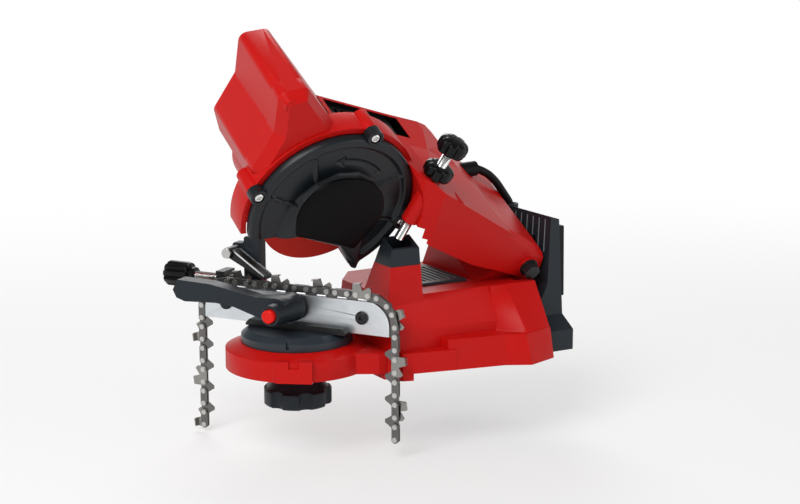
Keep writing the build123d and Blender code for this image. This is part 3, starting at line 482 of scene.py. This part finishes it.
# ---- Hub badge plate ----------------------------------------------------
# A plain black domed plate, smooth and a little glossy, with no mark on it.
# It is moulded in nylon and glued over the whole hub of the cover.
PLATE_EDGE = [(-28.8, 81.4), (-31.2, 94.2), (-30.6, 106.7), (-26.0, 118.3), (-17.2, 128.5),
              (-4.1, 133.8), (14.3, 133.0), (29.0, 126.9), (40.0, 115.8), (45.0, 102.5),
              (45.3, 91.4), (41.0, 79.5), (33.0, 66.8), (28.6, 60.6), (22.5, 62.6),
              (13.5, 66.5), (-2.7, 71.7), (-18.6, 77.0)]
PLATE_MIDDLE = Vector((8, 98))
PLATE_RINGS = [(1.0, 18.6), (1.0, 20.2), (0.985, 20.8), (0.95, 21.2), (0.8, 21.5), (0.5, 21.7),
               (0.2, 21.7)]


def smooth_loop(points, steps):
    """A closed Catmull-Rom curve through the points."""
    curve = []
    count = len(points)
    for i in range(count):
        a, b, c, d = (Vector(points[(i + k) % count]) for k in (-1, 0, 1, 2))
        for k in range(steps):
            t = k / steps
            curve.append(0.5 * (2 * b + (c - a) * t + (2 * a - 5 * b + 4 * c - d) * t * t
                                + (3 * b - a - 3 * c + d) * t ** 3))
    return curve


def plate_mesh():
    """Shrinking rings of the plate's outline, rising to its crown."""
    loop = smooth_loop(PLATE_EDGE, 8)
    verts = []
    for scale, height in PLATE_RINGS:
        for point in loop:
            spot = PLATE_MIDDLE + (point - PLATE_MIDDLE) * scale
            verts.append((spot.x, spot.y, height))
    verts.append((PLATE_MIDDLE.x, PLATE_MIDDLE.y, PLATE_RINGS[-1][1]))
    count = len(loop)
    faces = []
    for k in range(len(PLATE_RINGS) - 1):
        low, high = k * count, (k + 1) * count
        faces += [(low + i, low + (i + 1) % count, high + (i + 1) % count, high + i)
                  for i in range(count)]
    last = (len(PLATE_RINGS) - 1) * count
    faces += [(last + i, last + (i + 1) % count, len(verts) - 1) for i in range(count)]
    return verts, faces


satin_black = moulded("satin_black", (0.002, 0.002, 0.0025), 0.38, 0.05, 0.6, 0.08)
plate = build("hub_plate", *plate_mesh(), HEAD_PLACE, satin_black, "head", 60)
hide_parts("hub_cover")

# ---- Cover screws -------------------------------------------------------
# Three bright plated socket screws, turned from steel, each sunk in a round boss.
# The bosses are moulded with the cover.
LOBE_SHAPE = 1.3


def turned(name, profile, place, material, body, lobes=0, bite=0.0, steps=72):
    """A piece turned about place's z axis, from rows of radius, height and share of the lobes' bite."""
    verts, faces = [], []
    for i in range(steps):
        angle = math.tau * i / steps
        notch = bite * max(0.0, math.cos(lobes * angle)) ** LOBE_SHAPE if lobes else 0.0
        for radius, height, grip in profile:
            reach = radius - notch * grip
            verts.append((reach * math.cos(angle), reach * math.sin(angle), height))
    row = len(profile)
    for i in range(steps):
        here, there = i * row, (i + 1) % steps * row
        for k in range(row - 1):
            faces.append((here + k, here + k + 1, there + k + 1, there + k))
    return build(name, verts, faces, place, material, body)


def head_spot(u, v, h=0.0):
    """The head's own axes moved to a point of it, in mm."""
    return HEAD_PLACE @ Matrix.Translation(Vector((u, v, h)) / 1000)


COVER_SCREWS = [(-67, 118.8), (22.2, 168.4), (71.1, 78.2)]
BOSS = [(0, 13.0, 0), (4.3, 13.0, 0), (4.5, 15.2, 0), (5.0, 15.6, 0), (6.2, 15.6, 0),
        (6.8, 15.0, 0), (7.0, 6.4, 0)]
SCREW_HEAD = [(0, 13.4, 0), (1.7, 13.4, 0), (1.9, 15.2, 0), (2.3, 15.5, 0), (3.3, 15.2, 0),
              (3.9, 14.4, 0), (4.1, 13.0, 0), (1.55, 13.0, 0), (1.55, -6.0, 0), (0, -7.0, 0)]
bright = metal("bright_screw", (0.86, 0.86, 0.84), 0.2)
for number, (u, v) in enumerate(COVER_SCREWS):
    boss = turned(f"cover_boss_{number}", BOSS, head_spot(u, v), cover_nylon, "head")
    screw = turned(f"cover_screw_{number}", SCREW_HEAD, head_spot(u, v), bright, "head", steps=36)
    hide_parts("cover_screws")

# ---- Depth screw --------------------------------------------------------
# A threaded steel rod through the head, a domed star knob on its end and a thinner lock knob below.
# Both knobs are black nylon with seven rounded lobes.
SCREW_TIP = (66.3, 69.7, 24)
SCREW_LEAN = -14.3
SCREW_PLACE = (head_spot(*SCREW_TIP) @ Matrix.Rotation(math.radians(SCREW_LEAN), 4, "Z")
               @ Matrix.Rotation(math.radians(-90), 4, "X"))
SCREW_LONG = 99.5
THREAD_R, THREAD_ROOT, THREAD_PITCH = 4.0, 3.45, 1.25
END_BEVEL = 0.6
ROOT_SHARE, CREST_SHARE = 0.2, 0.7
STAR_LOBES, STAR_BITE = 7, 2.6
TOP_KNOB = [(4.2, 88.5, 0), (9.3, 88.5, 0.4), (11.4, 89.3, 0.9), (12.5, 91.3, 1), (12.8, 94.5, 1),
            (12.6, 97.4, 1), (11.6, 99.6, 0.85), (9.6, 101.0, 0.45), (6.4, 101.8, 0.1), (0, 102, 0)]
LOCK_KNOB = [(4.2, 65.0, 0), (9.2, 65.0, 0.4), (11.6, 65.7, 0.9), (12.6, 67.4, 1), (12.8, 70.5, 1),
             (12.5, 73.4, 1), (11.2, 75.0, 0.8), (8.8, 75.8, 0.2), (7.2, 76.0, 0), (4.2, 76.0, 0)]


def thread(length):
    """Rows of a threaded rod of that length, as rings."""
    rows = [(0, 0, 0), (THREAD_ROOT - END_BEVEL, 0, 0)]
    for i in range(int(length / THREAD_PITCH)):
        rows += [(THREAD_ROOT, (i + ROOT_SHARE) * THREAD_PITCH, 0),
                 (THREAD_R, (i + CREST_SHARE) * THREAD_PITCH, 0)]
    return rows + [(THREAD_ROOT - END_BEVEL, length, 0), (0, length, 0)]


for name, profile, body in (("top_star_knob", TOP_KNOB, "depth_star"),
                            ("lock_star_knob", LOCK_KNOB, "depth_lock")):
    knob = turned(name, profile, SCREW_PLACE, black, body, STAR_LOBES, STAR_BITE, 112)
    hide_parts("depth_knob" if body == "depth_star" else "depth_lock_knob")
rod = turned("depth_thread", thread(SCREW_LONG), SCREW_PLACE, bright, "depth_screw", steps=32)
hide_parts("depth_rod")

# ---- Chain stop screw ---------------------------------------------------
# A threaded steel rod along the vise, through the stop bracket.
# A ribbed black nylon knob is pressed on its end.
VISE_TURN = math.radians(35)
VISE_PLACE = Matrix(((math.sin(VISE_TURN), math.cos(VISE_TURN), 0, TABLE_X),
                     (-math.cos(VISE_TURN), math.sin(VISE_TURN), 0, 0), (0, 0, 1, 0), (0, 0, 0, 1)))
STOP_KNOB = [(0, -12, 0), (6.5, -12, 0), (9.8, -11.3, 0.6), (11, -9.2, 1), (11, 9.0, 1), (10.2, 11.0, 0.9),
             (8.4, 11.9, 0.3), (7.0, 12, 0), (7.0, 16.2, 0), (6.3, 17, 0), (4.2, 17, 0)]
KNOB_AT, ROD_FROM = -0.123, -0.122
STOP_ASIDE, STOP_H = 0.015, 0.0635
STOP_ROD_LONG = 85
KNOB_RIBS, RIB_BITE = 9, 2.0


def stop_spot(along):
    """The stop screw's own axes, so far along the vise."""
    return (VISE_PLACE @ Matrix.Translation((along, STOP_ASIDE, STOP_H))
            @ Matrix.Rotation(math.radians(90), 4, "Y"))


knob = turned("ribbed_knob", STOP_KNOB, stop_spot(KNOB_AT), black, "stop_screw", KNOB_RIBS, RIB_BITE, 108)
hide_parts("stop_knob")
rod = turned("stop_thread", thread(STOP_ROD_LONG), stop_spot(ROD_FROM), bright, "stop_screw", steps=32)
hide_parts("stop_rod")

# ---- Pawl edge highlights -----------------------------------------------
# The pawl is pressed from blacked sheet steel, and its two upper edges get painted highlights.
# They are thin strips of bright steel on the pawl's own body.
PAWL_TOP = [Vector((-57.5, 93.3)), Vector((-27.8, 73.8))]
PAWL_SIDES = (-5.2, 6.0)
EDGE_WIDE, EDGE_PROUD, EDGE_SUNK = 1.3, 0.35, 0.9
run = (PAWL_TOP[1] - PAWL_TOP[0]).normalized()
up = Vector((-run.y, run.x))
for number, m in enumerate(PAWL_SIDES):
    section = ((-EDGE_SUNK, 0), (EDGE_PROUD, 0), (EDGE_PROUD, EDGE_WIDE), (-EDGE_SUNK, EDGE_WIDE))
    corners = [(spot + up * lift, m + wide) for spot in PAWL_TOP for lift, wide in section]
    verts = [(spot.x, across, spot.y) for spot, across in corners]
    faces = [(0, 1, 2, 3), (4, 7, 6, 5)] + [(k, 4 + k, 4 + (k + 1) % 4, (k + 1) % 4) for k in range(4)]
    # Each strip is a painted highlight along one upper edge of the pawl.
    edge = build(f"pawl_highlight_{number}", verts, faces, VISE_PLACE, bright, "pawl", 20)

# ---- Vent lining --------------------------------------------------------
# The motor's air intake is a deep slot across the arm, behind its grille.
# Its floor and ends are lined in black nylon.
VENT_FLOOR = [(8.8, 156.2), (14.4, 146.4), (76.2, 125.3), (84, 119.5), (89.4, 118.8), (86.8, 129.7)]
VENT_RIM = [(79.3, 132.1)]
VENT_FAR, VENT_NEAR = -57.7, -30.3
verts = [(u, v, h) for h in (VENT_FAR, VENT_NEAR) for u, v in VENT_FLOOR + VENT_RIM]
side = len(VENT_FLOOR) + len(VENT_RIM)
faces = [(i, i + 1, side + i + 1, side + i) for i in range(len(VENT_FLOOR) - 1)]
faces += [tuple(range(side)), tuple(range(side, 2 * side))]
lining = build("vent_lining", verts, faces, HEAD_PLACE, black, "head", 10)

# ---- Power lead ---------------------------------------------------------
# A soft black lead from the arm's boot down into the battery holder, bent close along the arm.
# It is about 66 mm long and follows the arm at its upper end and the base at its lower end.
LEAD_R = 0.0036
LEAD_ROUTE = [(0.175, -0.0001, 0.1527), (0.186, 0.001, 0.149), (0.199, 0.0042, 0.139),
              (0.2095, 0.0068, 0.1265), (0.2178, 0.008, 0.116), (0.2185, 0.008, 0.108)]


def lead_curve(name, radius):
    """The lead's route as a smooth curve, as thick as radius."""
    data = bpy.data.curves.new(name, "CURVE")
    data.dimensions = "3D"
    data.bevel_depth = radius
    data.bevel_resolution = 6
    data.use_fill_caps = radius > 0
    data.resolution_u = 16
    line = data.splines.new("NURBS")
    line.points.add(len(LEAD_ROUTE) - 1)
    for point, (x, y, z) in zip(line.points, LEAD_ROUTE):
        point.co = (x + TABLE_X, y, z, 1)
    line.order_u = 3
    line.use_endpoint_u = True
    return bpy.data.objects.new(name, data)


def curve_mesh(curve):
    """The mesh of a curve object, which is then thrown away."""
    bpy.context.scene.collection.objects.link(curve)
    bpy.context.view_layer.update()
    shaped = curve.evaluated_get(bpy.context.evaluated_depsgraph_get())
    mesh = bpy.data.meshes.new_from_object(shaped)
    bpy.data.objects.remove(curve)
    return mesh


route = [tuple(v.co) for v in curve_mesh(lead_curve("lead_line", 0)).vertices]
tube = curve_mesh(lead_curve("lead_tube", LEAD_R))
tube.materials.clear()
tube.materials.append(rubber)
tube.shade_smooth()
lead = bpy.data.objects.new("power_cable", tube)
bpy.context.scene.collection.objects.link(lead)
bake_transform(lead)
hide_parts("power_lead")

# ---- Battery holder ribs ------------------------------------------------
# Thin ribs up the holder's black inner face, with pale crests that are painted highlights.
# They are moulded with the holder and stiffen its tall wall.
RIB_FROM, RIB_STEP, RIB_COUNT = -52.0, 9.2, 7
RIB_FACE = [(213.0, 84.0), (214.3, 112.5)]
RIB_HALF, RIB_PROUD = 0.45, 0.7
RIB_FACES = [(0, 3, 5, 2), (1, 2, 5, 4), (0, 2, 1), (3, 4, 5), (0, 1, 4, 3)]
# The pale grey crest colour is a painted highlight along each rib.
rib_highlight = moulded("painted_highlight_crest", (0.16, 0.17, 0.18), 0.5, 0.2, 0.6, 0.4)
verts, faces = [], []
for i in range(RIB_COUNT):
    middle = RIB_FROM + i * RIB_STEP
    first = len(verts)
    for x, z in RIB_FACE:
        verts += [(x, middle - RIB_HALF, z), (x, middle + RIB_HALF, z), (x - RIB_PROUD, middle, z)]
    faces += [tuple(first + k for k in corners) for corners in RIB_FACES]
ribs = build("holder_ribs", verts, faces, Matrix.Translation((TABLE_X, 0, 0)), rib_highlight, "base", 20)
